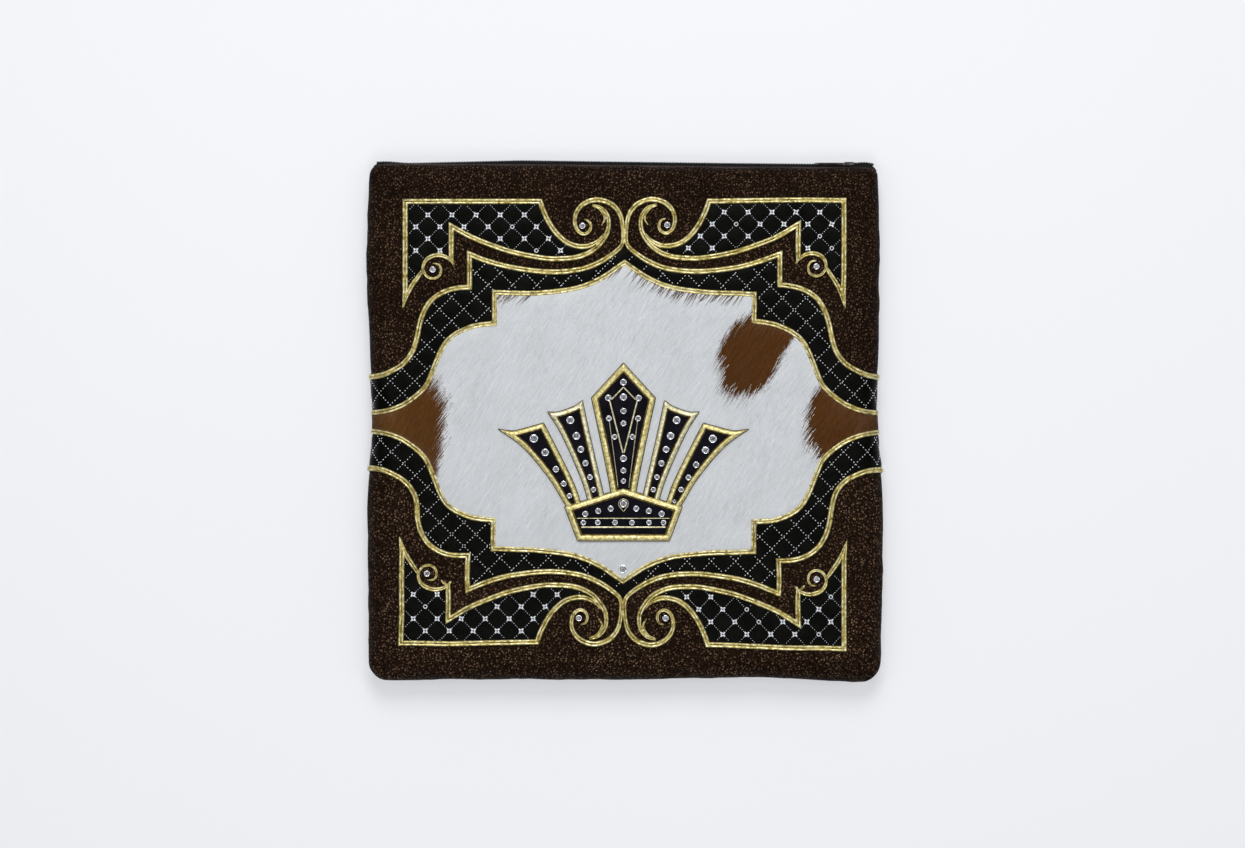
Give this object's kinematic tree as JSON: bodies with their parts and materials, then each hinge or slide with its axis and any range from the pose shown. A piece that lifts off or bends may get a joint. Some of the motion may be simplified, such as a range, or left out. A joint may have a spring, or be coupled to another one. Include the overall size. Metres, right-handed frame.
{
  "type": "tallit and tefillin bag",
  "caption": "Flat square zip pouch of dark pebbled leather, its front dressed with cowhide, quilted black leather, gold scroll trim and a stone-set crown.",
  "frame": {"origin": "middle of the bag's box, on the surface that its back lies on", "axes": "+X towards the bag's right as seen from the front, +Y towards the zip edge, +Z out of the front"},
  "size_m": [0.3643, 0.3678, 0.0386],
  "materials": {
    "brown_leather": "pebbled, semi-matt",
    "black_leather": "smooth, quilted, semi-gloss",
    "crown_leather": "smooth, set with clear stones",
    "cowhide": "hair-on, white with brown patches",
    "gold_trim": "gold foil, creased",
    "crystal": "cut and foil-backed",
    "zip_tape": "woven, matt",
    "zip_teeth": "moulded coil",
    "dark_metal": "dark plated"
  },
  "bodies": {
    "root": {"back_panel": "brown_leather", "front_panel": "brown_leather", "zip_tape": "zip_tape", "zip_teeth": "zip_teeth", "zip_slider": "dark_metal", "cowhide_field": "cowhide", "band_top": "black_leather", "band_bottom": "black_leather", "corner_panel_tl": "black_leather", "corner_panel_tr": "black_leather", "corner_panel_bl": "black_leather", "corner_panel_br": "black_leather", "trim_outer_top": "gold_trim", "trim_outer_bottom": "gold_trim", "trim_inner_top": "gold_trim", "trim_inner_bottom": "gold_trim", "frame_tl": "gold_trim", "frame_tr": "gold_trim", "frame_bl": "gold_trim", "frame_br": "gold_trim", "crown_base": "crown_leather", "crown_ray_1": "crown_leather", "crown_ray_2": "crown_leather", "crown_ray_3": "crown_leather", "crown_ray_4": "crown_leather", "crown_ray_5": "crown_leather", "crown_base_outline": "gold_trim", "crown_ray_1_outline": "gold_trim", "crown_ray_2_outline": "gold_trim", "crown_ray_3_outline": "gold_trim", "crown_ray_4_outline": "gold_trim", "crown_ray_5_outline": "gold_trim", "stone_scroll_tl": "crystal", "stone_scroll_tr": "crystal", "stone_scroll_bl": "crystal", "stone_scroll_br": "crystal", "stone_curl_tl": "crystal", "stone_curl_tr": "crystal", "stone_curl_bl": "crystal", "stone_curl_br": "crystal", "stone_bottom": "crystal"}
  },
  "joints": []
}
